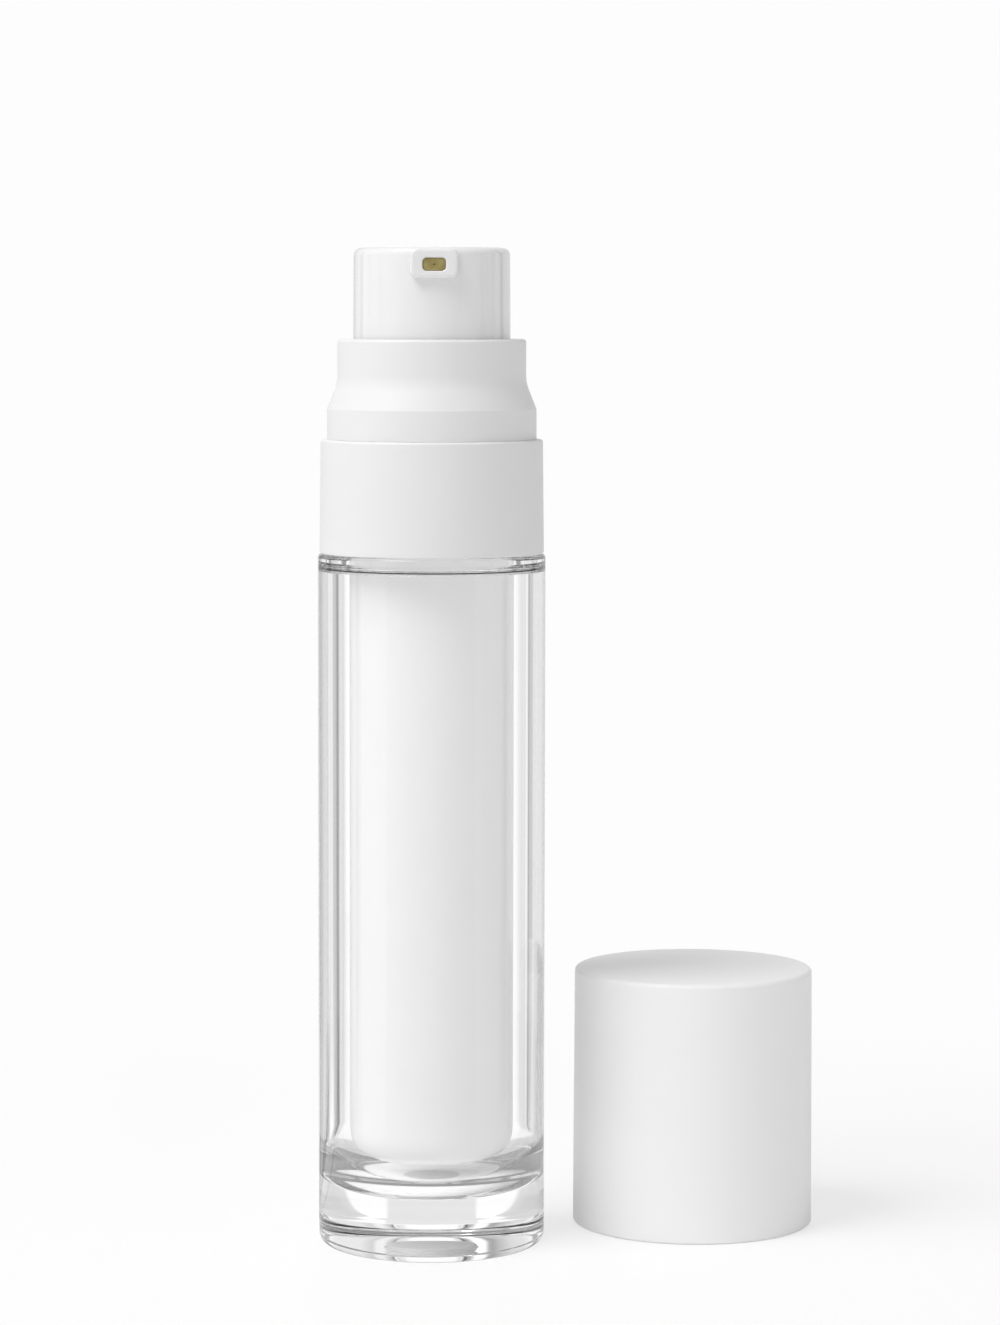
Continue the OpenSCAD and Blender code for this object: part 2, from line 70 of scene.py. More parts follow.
# wraps an output socket; +, -, *, / and ** on values add Math nodes, with plain numbers on either side
class Wire:
    def __init__(self, graph, socket):
        self.graph = graph
        self.socket = socket

    def maths(self, operation, *values):
        return self.graph.node("ShaderNodeMath", {"operation": operation}, dict(enumerate(values)))

    def __add__(self, other):
        return self.maths("ADD", self, other)

    def __radd__(self, other):
        return self.maths("ADD", other, self)

    def __sub__(self, other):
        return self.maths("SUBTRACT", self, other)

    def __rsub__(self, other):
        return self.maths("SUBTRACT", other, self)

    def __mul__(self, other):
        return self.maths("MULTIPLY", self, other)

    def __rmul__(self, other):
        return self.maths("MULTIPLY", other, self)

    def __truediv__(self, other):
        return self.maths("DIVIDE", self, other)

    def __rtruediv__(self, other):
        return self.maths("DIVIDE", other, self)

    def __pow__(self, other):
        return self.maths("POWER", self, other)

    def __neg__(self):
        return self.maths("MULTIPLY", self, -1.0)

    # 0 below low, 1 above high, smooth between
    def rise(self, low, high):
        settings = {"interpolation_type": "SMOOTHSTEP"}
        return self.graph.node("ShaderNodeMapRange", settings, {0: self, 1: low, 2: high, 3: 0.0, 4: 1.0})

    def larger(self, other):
        return self.maths("MAXIMUM", self, other)


# a material or world node tree; every node comes from node()
class Graph:
    def __init__(self, owner):
        owner.use_nodes = True
        self.tree = owner.node_tree
        self.tree.nodes.clear()

    def fill(self, socket, value):
        if isinstance(value, Wire):
            self.tree.links.new(value.socket, socket)
        elif isinstance(value, (tuple, list)):
            socket.default_value = tuple(value) + (1.0,) * (socket.type == "RGBA" and len(value) == 3)
        else:
            socket.default_value = value

    def node(self, kind, settings=None, sockets=None, output=0):
        made = self.tree.nodes.new(kind)
        for name, value in (settings or {}).items():
            if name == "stops":
                self.setStops(made.color_ramp, value)
            else:
                setattr(made, name, value)
        for name, value in (sockets or {}).items():
            self.fill(made.inputs[name], value)
        return Wire(self, made.outputs[output])

    # stops are (place, grey)
    def setStops(self, ramp, stops):
        while len(ramp.elements) > 1:
            ramp.elements.remove(ramp.elements[-1])
        for index, (place, grey) in enumerate(stops):
            stop = ramp.elements[0] if index == 0 else ramp.elements.new(place)
            stop.position = place
            stop.color = (grey,) * 3 + (1.0,)

    # grey by a value that runs from low to high: tones are (value, grey)
    def tones(self, value, low, high, tones):
        stops = [((at - low) / (high - low), grey) for at, grey in tones]
        return self.node("ShaderNodeValToRGB", {"stops": stops}, {0: (value - low) / (high - low)})

    def split(self, vector):
        return [self.node("ShaderNodeSeparateXYZ", {}, {0: vector}, axis) for axis in "XYZ"]

    def length(self, vector):
        return self.node("ShaderNodeVectorMath", {"operation": "LENGTH"}, {0: vector}, "Value")

    def place(self):
        return self.node("ShaderNodeTexCoord", {}, {}, "Object")

    def shifted(self, vector, offset, scale=(1.0, 1.0, 1.0)):
        return self.node("ShaderNodeMapping", {}, {"Vector": vector, "Location": offset, "Scale": scale})

    def noise(self, vector, size, detail=2.0, rough=0.5):
        return self.node(
            "ShaderNodeTexNoise", {},
            {"Vector": vector, "Scale": 1 / (size * mm), "Detail": detail, "Roughness": rough}, "Fac"
        )

    def blendColours(self, factor, low, high):
        return self.node("ShaderNodeMix", {"data_type": "RGBA"}, {0: factor, 6: low, 7: high}, 2)

    def bump(self, height, depth, strength=1.0):
        return self.node(
            "ShaderNodeBump", {}, {"Strength": strength, "Distance": depth * mm, "Height": height}, "Normal"
        )

    def principled(self, values):
        return self.node("ShaderNodeBsdfPrincipled", {}, values, "BSDF")

    def mixShaders(self, factor, first, second):
        return self.node("ShaderNodeMixShader", {}, {0: factor, 1: first, 2: second})

    def light(self, *kinds):
        path = self.tree.nodes.new("ShaderNodeLightPath")
        found = [Wire(self, path.outputs[kind]) for kind in kinds]
        total = found[0]
        for other in found[1:]:
            total = total.larger(other)
        return total

    def finish(self, shader, kind="ShaderNodeOutputMaterial"):
        out = self.tree.nodes.new(kind)
        self.tree.links.new(shader.socket, out.inputs["Surface"])


def newMaterial(name):
    material = bpy.data.materials.new(name)
    return material, Graph(material)


# moulded plastic: a colour that drifts a little, roughness that drifts too, and a fine skin from the mould.
# colour = grey * (1 +- drift) by a slow noise, roughness = rough +- 0.03 by a faster one
def mouldedPlastic(
    name, colour, rough, grain, depth, drift=0.012, coat=0.0, coatRough=0.03, patch=9.0, inner=0.0
):
    material, graph = newMaterial(name)
    where = graph.place()
    cloud = graph.noise(where, patch, 3.0, 0.55)
    skin = graph.noise(where, grain, 3.0, 0.6)
    wear = graph.noise(graph.shifted(where, (0.3, 0.1, 0.2)), patch / 4, 2.0, 0.5)
    low = tuple(c * (1 - drift) for c in colour)
    high = tuple(min(c * (1 + drift), 1.0) for c in colour)
    values = {
        "Base Color": graph.blendColours(cloud, low, high),
        "Roughness": (rough - 0.03) + 0.06 * wear,
        "Normal": graph.bump(skin, depth),
        "Coat Weight": coat,
        "Coat Roughness": coatRough,
    }
    if inner:
        values["Subsurface Weight"] = inner
        values["Subsurface Scale"] = 1.2 * mm
        values["Subsurface Radius"] = (1.0, 1.0, 0.9)
    graph.finish(graph.principled(values))
    return material


finishes = {
    "innerWhite": dict(
        colour=(0.89, 0.89, 0.89), rough=0.42, grain=0.6, depth=0.002, coat=1.0, coatRough=0.2
    ),
    "collarWhite": dict(colour=(0.8, 0.8, 0.8), rough=0.5, grain=0.22, depth=0.004),
    # the cap's white is lighter than the collar's: painted light that makes up for the light the bottle keeps
    # off the cap
    "capWhitePaintedLight": dict(colour=(0.92, 0.92, 0.92), rough=0.5, grain=0.22, depth=0.004, patch=14.0),
    "headWhite": dict(colour=(0.83, 0.83, 0.83), rough=0.16, grain=3.0, depth=0.004, coat=0.6),
    "naturalResin": dict(colour=(0.8, 0.8, 0.77), rough=0.36, grain=0.4, depth=0.004, inner=0.35),
    "softSeal": dict(colour=(0.74, 0.74, 0.71), rough=0.55, grain=0.25, depth=0.006, inner=0.2),
}
materials = {name: mouldedPlastic(name, **values) for name, values in finishes.items()}


# clear acrylic: polished glass-like surface with the faint waves of moulding; light passes straight
# through it to what it holds, so that shadow and diffuse rays cross it undimmed. The dish in the underside,
# radius = sqrt(x * x + y * y) below 4.75 mm, is a grey rough surface whose grey is painted shade, standing
# in for the shade that the middle of the base shows. A ray still trapped in the thick base, below 30 mm,
# after five turns meets a grey lit surface, a painted stand-in for the light that more turns would bring,
# so that the base's shoulder doesn't turn black
def clearAcrylic(
    index=1.49, wave=6.0, waveDepth=0.0012, tint=(0.995, 0.995, 0.995), dish=4.75, dishTop=0.8, dishShadeGrey=0.62,
    turns=4.5, trappedTop=30.0, trappedLightGrey=0.45
):
    material, graph = newMaterial("clearAcrylic")
    where = graph.place()
    waves = graph.noise(graph.shifted(where, (0.0, 0.0, 0.0), (1.0, 1.0, 0.3)), wave, 1.0, 0.4)
    hairline = graph.noise(graph.shifted(where, (0.1, 0.2, 0.0), (1.0, 1.0, 0.15)), 0.5, 2.0, 0.6)
    body = graph.principled({
        "Base Color": graph.blendColours(waves, tint, (1.0, 1.0, 1.0)),
        "Roughness": 0.012 * hairline.rise(0.45, 0.8),
        "IOR": index,
        "Transmission Weight": 1.0,
        "Normal": graph.bump(waves, waveDepth),
    })
    through = graph.node("ShaderNodeBsdfTransparent", {}, {"Color": tint})
    across, along, height = graph.split(where)
    reach = (across * across + along * along) ** 0.5
    inDish = height.maths("LESS_THAN", height, dishTop * mm) * reach.maths("LESS_THAN", reach, dish * mm)
    # the dish's grey surface: painted shade
    paintedDishShade = graph.principled({
        "Base Color": graph.blendColours(hairline, (dishShadeGrey,) * 3, (dishShadeGrey + 0.06,) * 3),
        "Roughness": 0.45 + 0.1 * waves,
    })
    passing = graph.light("Is Shadow Ray", "Is Diffuse Ray")
    depth = graph.light("Ray Depth")
    trapped = depth.maths("GREATER_THAN", depth, turns) * height.maths("LESS_THAN", height, trappedTop * mm)
    # grey lit surface for trapped rays: a painted stand-in for the light that more turns would bring
    trappedLightStandIn = graph.principled({"Base Color": (trappedLightGrey,) * 3, "Roughness": 0.6})
    seen = graph.mixShaders(trapped, graph.mixShaders(inDish, body, paintedDishShade), trappedLightStandIn)
    graph.finish(graph.mixShaders(passing, seen, through))
    return material


# olive gold: fine metallic lacquer over plastic, with a soft flake
def oliveGold(light=(0.41, 0.335, 0.13), dark=(0.27, 0.215, 0.07), rough=0.42):
    material, graph = newMaterial("oliveGold")
    where = graph.place()
    flake = graph.noise(where, 0.12, 2.0, 0.7)
    cloud = graph.noise(graph.shifted(where, (0.02, 0.0, 0.01)), 1.4, 2.0, 0.5)
    graph.finish(graph.principled({
        "Base Color": graph.blendColours((0.6 * cloud + 0.4 * flake).rise(0.35, 0.65), dark, light),
        "Metallic": 0.35 + 0.15 * flake,
        "Roughness": (rough - 0.05) + 0.1 * flake,
        "Normal": graph.bump(flake, 0.004),
    }))
    return material


# drawn and polished steel, with faint lines along the wire or round the ball
def brightSteel(rough=0.18):
    material, graph = newMaterial("brightSteel")
    where = graph.place()
    lines = graph.noise(graph.shifted(where, (0.0, 0.0, 0.0), (1.0, 1.0, 6.0)), 0.3, 3.0, 0.6)
    graph.finish(graph.principled({
        "Base Color": graph.blendColours(lines, (0.56, 0.57, 0.58), (0.68, 0.69, 0.7)),
        "Metallic": 1.0,
        "Roughness": rough + 0.12 * lines,
        "Normal": graph.bump(lines, 0.003),
    }))
    return material


materials["clearAcrylic"] = clearAcrylic()
materials["oliveGold"] = oliveGold()
materials["brightSteel"] = brightSteel()
print("materials:", len(materials))


# signed volume of a closed mesh by the divergence rule: a third of the sum of corner . normal area
def signedVolume(points, faces):
    total = 0.0
    for face in (np.array([f for f in faces if len(f) == n]) for n in (3, 4)):
        for k in range(1, face.shape[1] - 1 if face.size else 0):
            a, b, c = points[face[:, 0]], points[face[:, k]], points[face[:, k + 1]]
            total += np.einsum("ij,ij->i", a, np.cross(b, c)).sum()
    return total / 6


# puts points in millimetres and faces into a mesh object, turned so that its faces point outwards
def newPiece(name, points, faces, body, material, replaced=(), sharp=32.0):
    if signedVolume(points, faces) < 0:
        faces = [tuple(face[::-1]) for face in faces]
    mesh = bpy.data.meshes.new(name)
    mesh.from_pydata((points * mm).tolist(), [], faces)
    mesh.validate()
    mesh.shade_smooth()
    mesh.set_sharp_from_angle(angle=math.radians(sharp))
    mesh.materials.append(materials[material])
    piece = bpy.data.objects.new(name, mesh)
    scene.collection.objects.link(piece)
    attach(piece, body)
    if replaced:
        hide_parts(*replaced)
    return piece


# an outline in radius and height from corners (radius, height, rounding): each rounded corner becomes an
# arc tangent to both its sides, with one more point just before and after it that keeps the sides flat
def roundedOutline(corners, closed, steps=10):
    corners = np.array([tuple(c) + (0.0,) * (3 - len(c)) for c in corners], float)
    out = []
    for i, (r, z, rounding) in enumerate(corners):
        here = np.array([r, z])
        if rounding <= 0:
            out.append(here[None, :])
            continue
        before = corners[i - 1, :2] - here
        after = corners[(i + 1) % len(corners), :2] - here
        u, v = before / np.linalg.norm(before), after / np.linalg.norm(after)
        half = math.acos(np.clip(u @ v, -1, 1)) / 2
        reach = rounding / math.tan(half)
        centre = here + (u + v) / np.linalg.norm(u + v) * rounding / math.sin(half)
        first, last = here + u * reach - centre, here + v * reach - centre
        sweep = math.atan2(first[0] * last[1] - first[1] * last[0], first @ last)
        turn = np.linspace(0, sweep, steps + 1)
        arc = centre + np.stack([
            first[0] * np.cos(turn) - first[1] * np.sin(turn),
            first[0] * np.sin(turn) + first[1] * np.cos(turn)
        ], 1)
        margin = min(0.04, rounding * 0.2)
        out += [(here + u * (reach + margin))[None, :], arc, (here + v * (reach + margin))[None, :]]
    return np.concatenate(out)


# quads between neighbouring rows of a grid of rows x columns, wrapped round the columns
def gridFaces(rows, columns, wrapRows):
    i = np.arange(rows if wrapRows else rows - 1)[:, None]
    j = np.arange(columns)[None, :]
    a, b = i * columns + j, i * columns + (j + 1) % columns
    c, d = (i + 1) % rows * columns + (j + 1) % columns, (i + 1) % rows * columns + j
    return np.stack([a, b, c, d], -1).reshape(-1, 4)


# fans that close a skin of rings at both ends; its two pole points are the last two of count points, and the
# last ring starts at point last
def endFans(count, last, around):
    here = np.arange(around)
    after = (here + 1) % around
    start = np.stack([np.full(around, count - 2), after, here], 1)
    end = np.stack([np.full(around, count - 1), last + here, last + after], 1)
    return [tuple(f) for f in np.concatenate([start, end]).tolist()]


# surface of revolution: the point of outline row s at angle t is (r cos t, r sin t, z); an outline that
# starts and ends on the axis is closed there by fans, and any other outline runs back to its start
def turned(name, corners, body, slot, material, replaced=(), centre=(0.0, 0.0), segments=256, steps=10):
    poles = corners[0][0] == 0
    outline = roundedOutline(corners, not poles, steps)
    rows = outline[1:-1] if poles else outline
    t = np.arange(segments) * 2 * math.pi / segments
    grid = np.stack([
        rows[:, :1] * np.cos(t) + centre[0], rows[:, :1] * np.sin(t) + centre[1],
        np.repeat(rows[:, 1:], segments, 1)
    ], -1).reshape(-1, 3)
    faces = [tuple(f) for f in gridFaces(len(rows), segments, not poles).tolist()]
    if poles:
        ends = np.array([[centre[0], centre[1], outline[0, 1]], [centre[0], centre[1], outline[-1, 1]]])
        grid = np.concatenate([grid, ends])
        faces += endFans(len(grid), (len(rows) - 1) * segments, segments)
    return newPiece(name, grid, faces, body, material, replaced)


# rectangle with round corners in the XZ plane at a given y: points run round the four corner arcs
def roundedLoop(width, height, rounding, level, y, steps=10):
    t = np.linspace(0, math.pi / 2, steps + 1)
    quarter = np.array([0, 1, 2, 3])[:, None] * math.pi / 2 + t[None, :]
    signX, signZ = np.array([1, -1, -1, 1])[:, None], np.array([1, 1, -1, -1])[:, None]
    x = signX * (width / 2 - rounding) + rounding * np.cos(quarter)
    z = signZ * (height / 2 - rounding) + rounding * np.sin(quarter)
    return np.stack([x.ravel(), np.full(x.size, y), z.ravel() + level], 1)


# skin over loops of equal length, one after another; with ring it runs from the last loop to the first,
# and otherwise a fan closes each end at its middle
def lofted(name, loops, body, material, replaced=(), ring=False):
    loops = np.stack(loops)
    count, around = loops.shape[:2]
    points = loops.reshape(-1, 3)
    faces = [tuple(f) for f in gridFaces(count, around, ring).tolist()]
    if not ring:
        points = np.concatenate([points, loops[:1].mean(1), loops[-1:].mean(1)])
        faces += endFans(len(points), (count - 1) * around, around)
    return newPiece(name, points, faces, body, material, replaced)


outer = measure("outer_bottle")
inner = measure("inner_bottle")
band = measure("shoulder_band")

outerBottle = {
    "wall": 1.0,
    "base": 8.5,
    "footRounding": 1.8,
    "hollowRounding": 8.0,
    "ringHeight": 2.3,
    "rimRounding": 0.8,
    "mouthRadius": 12.55,
    "mouthRounding": 1.1,
    "dishRadius": 4.5,
    "dishDepth": 0.5,
}


def buildOuterBottle(v):
    radius, top = outer["radius"], outer["high"]
    hollow, hollowTop = radius - v["wall"], top - v["ringHeight"]
    corners = [
        (0.0, v["dishDepth"]),
        (v["dishRadius"], v["dishDepth"], 0.25),
        (v["dishRadius"] + 0.1, 0.0, 0.2),
        (radius, 0.0, v["footRounding"]),
        (radius, top, v["rimRounding"]),
        (v["mouthRadius"], top, v["mouthRounding"]),
        (v["mouthRadius"], hollowTop, v["mouthRounding"]),
        (hollow, hollowTop, 0.4),
        (hollow, v["base"], v["hollowRounding"]),
        (0.0, v["base"]),
    ]
    turned("outerBottle", corners, "bottle", "clear_acrylic", "clearAcrylic", ["outer_bottle"], steps=24)


buildOuterBottle(outerBottle)
print("outer bottle made")


innerBottle = {
    "radius": 12.3,
    "wall": 1.2,
    "rounding": 6.0,
    "floor": 1.3,
    "ventRadius": 0.8,
    "flangeThickness": 1.4,
    "neckWall": 1.1,
    "beadFall": 5.7,
    "beadHeight": 1.2,
    "beadDepth": 0.5,
}


def buildInnerBottle(v):
    radius, low, top, flange = v["radius"], inner["low"], inner["high"], inner["radius"]
    bore, rim, floor = radius - v["wall"], outer["high"], inner["low"] + v["floor"]
    bead = top - v["beadFall"]
    corners = [
        (v["ventRadius"], low, 0.15),
        (radius, low, v["rounding"]),
        (radius, rim),
        (flange, rim, 0.15),
        (flange, rim + v["flangeThickness"], 0.3),
        (radius, rim + v["flangeThickness"], 0.3),
        (radius, bead, 0.1),
        (radius + v["beadDepth"], bead + v["beadHeight"] / 3, 0.1),
        (radius + v["beadDepth"], bead + v["beadHeight"] * 2 / 3, 0.1),
        (radius, bead + v["beadHeight"], 0.1),
        (radius, top, 0.3),
        (radius - v["neckWall"], top, 0.2),
        (radius - v["neckWall"], rim + v["flangeThickness"] - 0.5),
        (bore, rim + v["flangeThickness"] - 0.5),
        (bore, floor, v["rounding"] / 2),
        (v["ventRadius"], floor, 0.15),
    ]
    turned("innerBottle", corners, "bottle", "inner_white", "innerWhite", ["inner_bottle"], steps=16)


buildInnerBottle(innerBottle)
print("inner bottle made")


collarBand = {
    "footRadius": 16.75,
    "topRadius": 16.575,
    "footRounding": 0.18,
    "topRounding": 0.4,
    "boreRadius": 15.3,
}


def buildBand(v):
    low, high = band["low"], band["high"]
    corners = [
        (v["boreRadius"], low),
        (v["footRadius"], low, v["footRounding"]),
        (v["topRadius"], high, v["topRounding"]),
        (v["boreRadius"], high, 0.1),
    ]
    turned("shoulderBand", corners, "bottle", "collar_white", "collarWhite", ["shoulder_band"])


collarTop = {
    "skirtRadius": 15.2,
    "skirtBore": 14.0,
    "stepRadius": 15.61,
    "stepHeight": 4.5,
    "stepRounding": 0.22,
    "throatRadius": 14.05,
    "flareRounding": 6.0,
    "throatHeight": 5.3,
    "throatRounding": 0.5,
    "wall": 1.3,
    "lip": 1.1,
    "holeRadius": 12.025,
    "lidTop": 121.1,
}


# the flare is a cone's side that runs up, tangent, into a hollow rounding, whose centre lies outside the
# collar, level with the flare's top, so that it meets the throat without a corner
def buildCollar(v):
    box = measure("shoulder_collar")
    top, ledge = box["high"], band["high"]
    flareLow, flareHigh = ledge + v["stepHeight"], top - v["throatHeight"]
    rise, run = flareHigh - flareLow, v["stepRadius"] - v["throatRadius"]
    arc = v["flareRounding"]
    reach = math.sqrt(rise ** 2 + run ** 2 - 2 * run * arc)
    slope = math.atan2(rise, arc - run) - math.atan(reach / arc)
    flare = [
        (v["throatRadius"] + arc * (1 - math.cos(a)), flareHigh - arc * math.sin(a))
        for a in np.linspace(slope, 0, 14)
    ]
    corners = [
        (v["skirtBore"], box["low"]),
        (v["skirtRadius"], box["low"], 0.2),
        (v["skirtRadius"], ledge - 0.1),
        (v["skirtRadius"], ledge),
        (v["stepRadius"], ledge, 0.08),
        (v["stepRadius"], flareLow, v["stepRounding"]),
        *flare,
        (v["throatRadius"], top, v["throatRounding"]),
        (v["holeRadius"], top, 0.25),
        (v["holeRadius"], top - v["lip"], 0.1),
        (v["throatRadius"] - v["wall"], top - v["lip"]),
        (v["throatRadius"] - v["wall"], v["lidTop"]),
        (v["skirtBore"], v["lidTop"]),
    ]
    turned("shoulderCollar", corners, "bottle", "collar_white", "collarWhite", ["shoulder_collar"])


buildBand(collarBand)
buildCollar(collarTop)
print("collar made")


head = measure("actuator_shell")

pumpHead = {
    "topRadius": 11.625,
    "topRounding": 1.2,
    "footRounding": 0.2,
    "wall": 1.1,
    "roof": 1.2,
    "frameWidth": 7.1,
    "frameHeight": 4.3,
    "frameRounding": 1.15,
    "frameEdge": 0.45,
    "frameFall": 0.3,
    "lip": 0.2,
    "margin": 0.04,
    "seat": 0.4,
    "outletWidth": 3.4,
    "outletHeight": 1.9,
    "outletRounding": 0.6,
    "outletFall": 2.6,
}


def buildHead(v):
    low, high, foot = head["low"], head["high"], head["radius"]
    bore, roof = v["topRadius"] - v["wall"], high - v["roof"]
    corners = [
        (0.0, high),
        (v["topRadius"], high, v["topRounding"]),
        (foot, low, v["footRounding"]),
        (bore, low, 0.2),
        (bore, roof, 0.3),
        (0.0, roof),
    ]
    turned("pumpHead", corners, "head", "head_white", "headWhite", ["actuator_shell"], steps=14)


# the frame is a ring skin: out from the wall, over a rounded front edge, and back into the outlet's hole
def buildFrame(v):
    front, back = head["front"], -(v["topRadius"] - v["wall"] + v["seat"])
    level = head["high"] - v["frameFall"] - v["frameHeight"] / 2
    outlet = head["high"] - v["outletFall"]
    edge, lip, margin = v["frameEdge"], v["lip"], v["margin"]
    turn = np.linspace(0, math.pi / 2, 7)

    def frameLoop(inset, y):
        width, height = v["frameWidth"] - 2 * inset, v["frameHeight"] - 2 * inset
        return roundedLoop(width, height, v["frameRounding"] - inset, level, y)

    def outletLoop(spread, y):
        width, height = v["outletWidth"] + 2 * spread, v["outletHeight"] + 2 * spread
        return roundedLoop(width, height, v["outletRounding"] + spread, outlet, y)

    loops = [frameLoop(0, back), frameLoop(0, front + edge + margin)]
    loops += [frameLoop(edge * (1 - math.cos(a)), front + edge * (1 - math.sin(a))) for a in turn]
    loops.append(frameLoop(edge + margin, front))
    loops += [outletLoop(lip * (1 - math.sin(a)), front + lip * (1 - math.cos(a))) for a in turn]
    loops += [outletLoop(0, front + lip + margin), outletLoop(0, back)]
    lofted("outletFrame", loops, "head", "headWhite", ring=True)


outletInsert = {
    "play": 0.02,
    "backPlay": 0.2,
    "recess": 0.25,
    "edge": 0.12,
    "margin": 0.03,
    "jetRadius": 0.12,
    "jetEdge": 0.06,
    "jetDepth": 0.6,
}


# the insert's face runs in to a small round jet; each loop keeps the same number of points
def buildInsert(v, h):
    front, back = head["front"] + v["recess"], -(h["topRadius"] - h["wall"] - v["backPlay"])
    outlet = head["high"] - h["outletFall"]
    edge = v["edge"]

    def faceLoop(inset, y):
        width, height = h["outletWidth"] - 2 * inset, h["outletHeight"] - 2 * inset
        return roundedLoop(width, height, h["outletRounding"] - inset, outlet, y)

    loops = [faceLoop(v["play"], back), faceLoop(v["play"], front + edge + v["margin"])]
    for a in np.linspace(0, math.pi / 2, 6):
        loops.append(faceLoop(v["play"] + edge * (1 - math.cos(a)), front + edge * (1 - math.sin(a))))
    spokes = loops[-1] - [0.0, front, outlet]
    spokes[:, 1] = 0.0
    ways = spokes / np.linalg.norm(spokes, axis=1, keepdims=True)
    mouth = v["jetRadius"] + v["jetEdge"]
    for share in (0.35, 0.7, 1.0):
        loops.append(np.array([0.0, front, outlet]) + spokes * (1 - share) + ways * mouth * share)
    for y in (front + v["jetEdge"], front + v["jetDepth"]):
        loops.append(np.array([0.0, y, outlet]) + ways * v["jetRadius"])
    lofted("outletInsert", loops, "head", "oliveGold", ["nozzle_insert"])


buildHead(pumpHead)
buildFrame(pumpHead)
buildInsert(outletInsert, pumpHead)
print("pump head made")


cap = measure("overcap")

capShell = {
    "topRadius": 18.25,
    "footWall": 1.35,
    "topWall": 1.17,
    "top": 1.6,
    "topRounding": 0.7,
    "footRounding": 0.4,
    "gripHeight": 5.4,
}

capLiner = {
    "foot": 0.4,
    "footBore": 15.69,
    "topBore": 15.67,
    "lead": 0.5,
    "roof": 1.2,
}


def buildCap(v, w):
    foot, top = cap["radius"], cap["high"]
    centre = (cap["x"], cap["y"])
    footBore, topBore, roof = foot - v["footWall"], v["topRadius"] - v["topWall"], top - v["top"]
    shell = [
        (0.0, top),
        (v["topRadius"], top, v["topRounding"]),
        (foot, cap["low"], v["footRounding"]),
        (footBore, cap["low"], 0.2),
        (footBore, v["gripHeight"]),
        (topBore, roof),
        (0.0, roof),
    ]
    turned("capShell", shell, "cap", "cap_white", "capWhitePaintedLight", ["overcap"], centre, steps=14)
    liner = [
        (0.0, roof),
        (topBore, roof, 0.3),
        (footBore, v["gripHeight"]),
        (footBore, w["foot"], 0.1),
        (w["footBore"] + w["lead"], w["foot"], 0.1),
        (w["footBore"], w["foot"] + w["lead"], 0.2),
        (w["footBore"], v["gripHeight"]),
        (w["topBore"], roof - w["roof"], 0.8),
        (0.0, roof - w["roof"]),
    ]
    turned("capLiner", liner, "cap", "natural", "naturalResin", ["overcap_liner"], centre)


buildCap(capShell, capLiner)
print("cap made")


spring = {
    "radius": 3.75,
    "wire": 0.7,
    "curls": 5,
    "ringsPerCurl": 56,
    "sides": 16,
    "flatShare": 0.16,
    "travel": 5.5,
}


# tube round a helix: the point of ring s at side k is path(s) + w (out cos k + side sin k), where the path
# climbs slowly over its first and last part, so that both ends lie flat
def buildSpring(v):
    box = measure("return_spring")
    low, high = box["low"] + v["wire"] / 2, box["high"] - v["wire"] / 2
    s = np.linspace(0, 1, v["curls"] * v["ringsPerCurl"] + 1)
    flat = v["flatShare"]
    ease = np.where(
        s < flat, s ** 2 / (2 * flat),
        np.where(s > 1 - flat, 1 - flat - (1 - s) ** 2 / (2 * flat), s - flat / 2)
    ) / (1 - flat)
    turn = s * v["curls"] * 2 * math.pi
    path = np.stack([v["radius"] * np.cos(turn), v["radius"] * np.sin(turn), low + (high - low) * ease], 1)
    along = np.gradient(path, axis=0)
    along /= np.linalg.norm(along, axis=1, keepdims=True)
    out = np.stack([np.cos(turn), np.sin(turn), np.zeros_like(turn)], 1)
    side = np.cross(along, out)
    k = np.arange(v["sides"]) * 2 * math.pi / v["sides"]
    loops = path[:, None] + v["wire"] / 2 * (
        out[:, None] * np.cos(k)[None, :, None] + side[:, None] * np.sin(k)[None, :, None]
    )
    piece = lofted("returnSpring", list(loops), "bottle", "brightSteel", ["return_spring"])
    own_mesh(piece)


buildSpring(spring)
print("return spring made")


inside = {
    "closure_ring": "naturalResin",
    "neck_gasket": "softSeal",
    "pump_housing": "naturalResin",
    "housing_cap": "naturalResin",
    "inlet_seat": "naturalResin",
    "inlet_valve": "brightSteel",
    "inlet_cage": "naturalResin",
    "stem": "naturalResin",
    "stem_piston": "softSeal",
    "stem_collar": "naturalResin",
    "outlet_valve": "brightSteel",
    "actuator_core": "naturalResin",
    "follower_piston": "naturalResin",
}
for node, finish in inside.items():
    nodes[node].data.materials.clear()
    nodes[node].data.materials.append(materials[finish])
print("inner pieces finished:", len(inside))


studio = {
    "floorDrop": 0.05 * mm,
    "floorHalf": 3.0,
    "floorColour": 0.99,
    "floorRough": 0.5,
    "floorGloss": 0.2,
    "plainWhite": 0.982,
    "middle": (0.02, 0.01, 0.0),
    "plainNear": 0.58,
    "plainFrom": 0.08,
    "plainTo": 0.22,
    "viewSlope": 0.0274,
    "crossing": 0.025,
    "underFrom": 0.014,
    "underTo": 0.018,
    "stripsFrom": 0.045,
    "stripsTo": 0.06,
    "aroundFrom": 0.09,
    "aroundTo": 0.15,
    "contactShadowGrey": 0.3,
    "contactFrom": (0.0138, 0.0152),
    "contactTo": (0.0168, 0.0182),
    "surroundRadius": 0.306,
    "surroundHeight": 0.6,
    "worldLight": 0.52,
    "keyPlace": (-0.85, -0.48, 1.58),
    "keyTarget": (0.0, 0.0, 0.07),
    "keySize": 0.9,
    "keyPower": 20.0,
}


